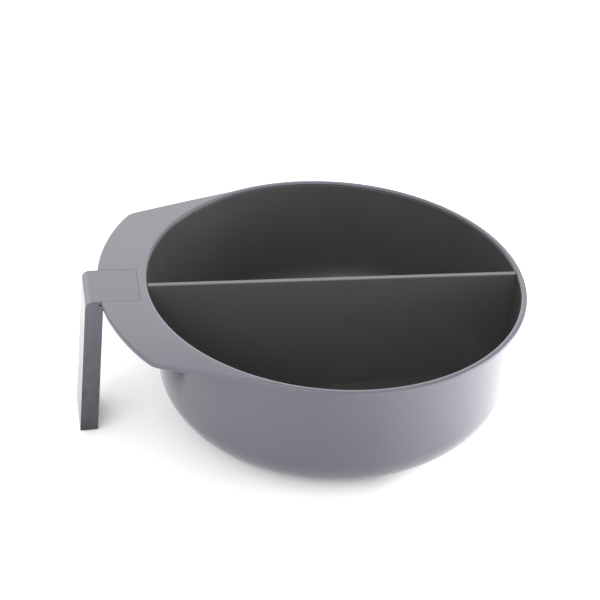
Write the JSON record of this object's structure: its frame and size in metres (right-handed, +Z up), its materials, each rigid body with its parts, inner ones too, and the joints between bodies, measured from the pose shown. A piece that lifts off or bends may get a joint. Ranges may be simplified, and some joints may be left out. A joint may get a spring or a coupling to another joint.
{
  "type": "hair colour bowl",
  "caption": "Round hair colour mixing bowl with a straight divider, a crescent flange on one side and a strap handle that hooks down to the table.",
  "frame": {"origin": "centre of the foot pad's underside, on the bowl's axis", "axes": "+Z up, the handle points along -X, the divider lies in the XZ plane and +Y is the rear compartment's side"},
  "size_m": [0.1652, 0.14, 0.0564],
  "materials": {
    "grey_shell": "satin moulded plastic, cool grey",
    "dark_liner": "fine satin, charcoal",
    "dark_divider": "fine satin, charcoal, paler along its top edge",
    "grey_handle": "satin moulded plastic, cool grey",
    "foot_rubber": "matte, ribbed underneath"
  },
  "bodies": {
    "root": {"outer_bowl": "grey_shell", "inner_bowl": "dark_liner", "divider": "dark_divider", "handle": "grey_handle", "base_pad": "foot_rubber"}
  },
  "joints": []
}
